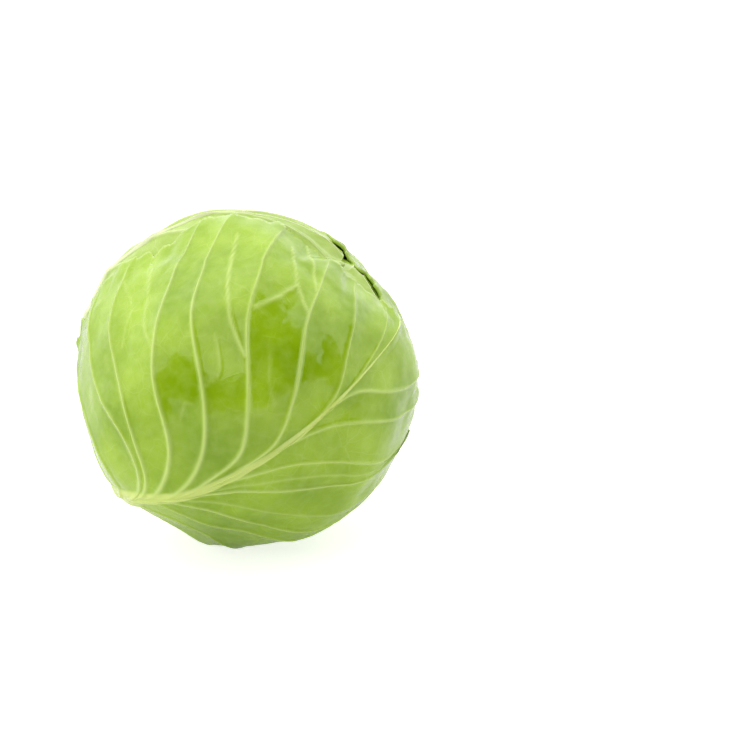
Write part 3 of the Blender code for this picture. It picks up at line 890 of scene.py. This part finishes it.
def ordinary_leaf(order, reach, shoulder, bend, seed):
    """A wrapper leaf whose side veins follow the common rule, with a little chance in them.

    They leave the midrib at places that draw together towards the stem, run beside it at first, and open to
    a far angle that is widest near the stem."""
    chance = np.random.default_rng(seed)
    number = np.arange(1, ORDINARY_GAPS) / ORDINARY_GAPS
    place = START_EVENNESS * number + (1.0 - START_EVENNESS) * number**START_CROWDING
    base = POLE_DISTANCE - BASE_DISTANCE - BASE_STEP * order
    starts = place * (OUTLINE_CENTRE + reach[2] - TIP_VEIN) - (1 - place) * base
    opening = WIDEST_OPENING * (1 - place**OPENING_FALL) ** OPENING_END
    at_once = OPEN_AT_ONCE + OPEN_AT_FOOT * np.exp(-place / FOOT_FADE)
    growth = 1.0 - np.exp(-ANGLE_AT / OPENING_LENGTH)
    halves = []
    for _ in range(2):
        angles = opening[:, None] * (at_once[:, None] + (1 - at_once[:, None]) * growth)
        stray = chance.normal(0.0, STRAY_ANGLE, angles.shape) * np.minimum(ANGLE_AT / STRAY_FROM, 1.0)
        strengths = chance.uniform(*ORDINARY_STRENGTHS, (ORDINARY_GAPS - 1, 1))
        halves.append(np.concatenate([strengths, angles + stray], axis=1))
    return LeafPlane(order, reach, (shoulder, shoulder, 0.0), bend, starts, *halves, seed=seed)


LEAF_2 = ordinary_leaf(order=1, reach=(80.0, 76.0, 78.0), shoulder=4.0, bend=-0.14, seed=21)
LEAF_3 = ordinary_leaf(order=2, reach=(78.0, 84.0, 90.0), shoulder=5.0, bend=-0.17, seed=22)
LEAF_4 = ordinary_leaf(order=3, reach=(80.0, 80.0, 100.0), shoulder=2.0, bend=0.12, seed=23)
LEAF_5 = ordinary_leaf(order=4, reach=(82.0, 74.0, 108.0), shoulder=0.0, bend=-0.1, seed=24)
WRAPPERS = [LEAF_1, LEAF_2, LEAF_3, LEAF_4, LEAF_5]

# Grids: mm between rows, columns of the outer face, columns of the inner face
FRONT_GRID = (1.15, 120, 14)
ORDINARY_GRID = (1.6, 130, 22)

for number, leaf in enumerate(WRAPPERS, start=1):
    grid = FRONT_GRID if number == 1 else ORDINARY_GRID
    skin = OUTER_LEAF if number in (1, 2) else PALE_LEAF
    piece = make_leaf(f"leaf_{number}_skin", leaf, WRAPPERS[number:], skin, *grid)
    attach(piece, "root")
    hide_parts(f"wrapper_leaf_{number}")

# The stem
#
# The stalk the head was cut from: a short pale cylinder whose square cut shows a ring and moist pith.

STEM_RADIUS = 16.5 * MM
STEM_RING = (0.62 * STEM_RADIUS, 0.74 * STEM_RADIUS)
STEM_RIND = (0.96 * STEM_RADIUS, 1.04 * STEM_RADIUS)
RING_WANDER = 0.1 * STEM_RADIUS
PATCH_SCALE, PATCH_DETAIL = 160.0, 4.0
PATCH_RANGE = (0.3, 0.7)
STEM_ROUGHNESS = (0.38, 0.6)
FIBRE_SCALE, FIBRE_DETAIL = 900.0, 2.0
FIBRE_RANGE = (0.45, 0.7)
FIBRE_DARKNESS = 0.35
FIBRE_RELIEF = 0.3 * MM


def stem_material():
    """Stem flesh: moist pith in the middle, a pale woody ring round it, a green rind, and fine fibres."""
    material = bpy.data.materials.new("stem_flesh_cut")
    material.use_nodes = True
    tree = material.node_tree
    shader = tree.nodes["Principled BSDF"]
    place = add_node(tree, "ShaderNodeTexCoord").outputs["Object"]
    centre, axis = tuple(HEAD_CENTRE.tolist()), tuple(unit(HEAD_AXIS).tolist())
    away = add_node(tree, "ShaderNodeVectorMath", {0: place, 1: centre}, operation="SUBTRACT").outputs[0]
    across = add_node(tree, "ShaderNodeVectorMath", {0: away, 1: axis}, operation="CROSS_PRODUCT").outputs[0]
    radius = add_node(tree, "ShaderNodeVectorMath", {0: across}, operation="LENGTH").outputs["Value"]
    patch = noise(tree, place, PATCH_SCALE, PATCH_DETAIL)[0]
    fibre = noise(tree, across, FIBRE_SCALE, FIBRE_DETAIL)[0]
    wander = math_node(tree, "ADD", radius, math_node(tree, "MULTIPLY", patch, RING_WANDER))
    darker = math_node(tree, "MULTIPLY", spread(tree, fibre, *FIBRE_RANGE), FIBRE_DARKNESS)
    flesh = blend(tree, spread(tree, wander, *STEM_RING), shade(214, 224, 160), shade(238, 240, 206))
    flesh = blend(tree, spread(tree, wander, *STEM_RIND), flesh, shade(196, 214, 124))
    flesh = blend(tree, darker, flesh, shade(182, 196, 120))
    relief = math_node(tree, "MULTIPLY", fibre, FIBRE_RELIEF)
    bump = add_node(tree, "ShaderNodeBump", {"Height": relief, "Distance": 1.0})
    tree.links.new(flesh, shader.inputs["Base Color"])
    tree.links.new(spread(tree, patch, *PATCH_RANGE, *STEM_ROUGHNESS), shader.inputs["Roughness"])
    tree.links.new(bump.outputs[0], shader.inputs["Normal"])
    return material


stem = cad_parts["stem"]
stem.data.materials.clear()
stem.data.materials.append(stem_material())

# The stage
#
# A plain white table in a bright white room, with a soft light overhead. Part of the room in front is
# dark, and the waxy front leaf mirrors it.

FLOOR_REACH = 8.0
FLOOR_GREY = 0.6
FLOOR_ROUGHNESS = 0.8
FLOOR_GLOW = (0.25, 0.75)
LIGHT_AT = (0.0, 0.15, 1.3)
LIGHT_AIM = (0.0, 0.0, 0.1)
LIGHT_SIZE = (1.2, 0.8)
LIGHT_BRIGHTNESS = 0.6
ROOM_BRIGHTNESS = 1.52
ROOM_DARKNESS = 0.03
BACKDROP_BRIGHTNESS = 1.3
PANEL_SOFTNESS = math.radians(1.0)
CAMERA_DISTANCE = 2.0
CAMERA_ELEVATION = math.radians(19.0)
CAMERA_AIM = np.array([0.0753, 0.0, -0.0011])
FRAME_WIDTH = 0.4352
SENSOR_WIDTH = 36.0

floor_mesh = bpy.data.meshes.new("floor")
corners = [(x * FLOOR_REACH, y * FLOOR_REACH, 0.0) for x, y in ((-1, -1), (1, -1), (1, 1), (-1, 1))]
floor_mesh.from_pydata(corners, [], [(0, 1, 2, 3)])
floor = bpy.data.objects.new("floor", floor_mesh)
bpy.context.scene.collection.objects.link(floor)
floor_paint = bpy.data.materials.new("floor_white")
floor_paint.use_nodes = True
floor_tree = floor_paint.node_tree
floor_shader = floor_tree.nodes["Principled BSDF"]
floor_shader.inputs["Base Color"].default_value = (FLOOR_GREY, FLOOR_GREY, FLOOR_GREY, 1.0)
floor_shader.inputs["Roughness"].default_value = FLOOR_ROUGHNESS
floor_shader.inputs["Emission Color"].default_value = (1.0, 1.0, 1.0, 1.0)
looked_at = add_node(floor_tree, "ShaderNodeLightPath").outputs["Is Camera Ray"]
glow = spread(floor_tree, looked_at, 0.0, 1.0, *FLOOR_GLOW)
floor_tree.links.new(glow, floor_shader.inputs["Emission Strength"])
floor_mesh.materials.append(floor_paint)

light = bpy.data.lights.new("overhead_light", "AREA")
light.shape = "RECTANGLE"
light.size, light.size_y = LIGHT_SIZE
light.energy = LIGHT_BRIGHTNESS * math.pi * LIGHT_SIZE[0] * LIGHT_SIZE[1]
lamp = bpy.data.objects.new("overhead_light", light)
bpy.context.scene.collection.objects.link(lamp)
lamp.location = LIGHT_AT
lamp.rotation_euler = (Vector(LIGHT_AIM) - Vector(LIGHT_AT)).to_track_quat("-Z", "Y").to_euler()
lamp.visible_camera = False

world = bpy.data.worlds.new("studio")
bpy.context.scene.world = world
world.use_nodes = True
sky = world.node_tree
sky_light = sky.nodes["Background"]
looking = add_node(sky, "ShaderNodeTexCoord").outputs["Generated"]
way = add_node(sky, "ShaderNodeSeparateXYZ", {0: looking}).outputs
turn_right = math_node(sky, "ARCTAN2", way["X"], math_node(sky, "MULTIPLY", way["Y"], -1.0))
rise = math_node(sky, "ARCSINE", way["Z"])


def dark_panel(left, right, top):
    """1 inside the part of the room in front that has no light, between two turns and below a height."""
    inside = 1.0
    for value, limit, past in ((turn_right, left, 1.0), (turn_right, right, 0.0), (rise, top, 0.0)):
        low, high = math.radians(limit) - PANEL_SOFTNESS, math.radians(limit) + PANEL_SOFTNESS
        inside = math_node(sky, "MULTIPLY", inside, spread(sky, value, low, high, 1.0 - past, past))
    return inside


high_panel = dark_panel(left=0.0, right=76.0, top=64.0)
low_panel = dark_panel(left=-60.0, right=1.0, top=24.0)
dark = math_node(sky, "MAXIMUM", high_panel, low_panel)
room = spread(sky, dark, 0.0, 1.0, ROOM_BRIGHTNESS, ROOM_DARKNESS)
seen = add_node(sky, "ShaderNodeLightPath").outputs["Is Camera Ray"]
links = {0: seen, 2: room, 3: BACKDROP_BRIGHTNESS}
behind = add_node(sky, "ShaderNodeMix", links, data_type="FLOAT").outputs[0]
sky_light.inputs["Color"].default_value = (1.0, 1.0, 1.0, 1.0)
sky.links.new(behind, sky_light.inputs["Strength"])
bpy.context.scene.view_settings.view_transform = "Standard"

camera_data = bpy.data.cameras.new("camera")
camera_data.sensor_width = SENSOR_WIDTH
camera_data.lens = SENSOR_WIDTH * CAMERA_DISTANCE / FRAME_WIDTH
camera = bpy.data.objects.new("camera", camera_data)
bpy.context.scene.collection.objects.link(camera)
aim = HEAD_CENTRE + CAMERA_AIM
back = np.array([0.0, -math.cos(CAMERA_ELEVATION), math.sin(CAMERA_ELEVATION)])
camera.location = (aim + back * CAMERA_DISTANCE).tolist()
camera.rotation_euler = (math.pi / 2 - CAMERA_ELEVATION, 0.0, 0.0)
bpy.context.scene.camera = camera
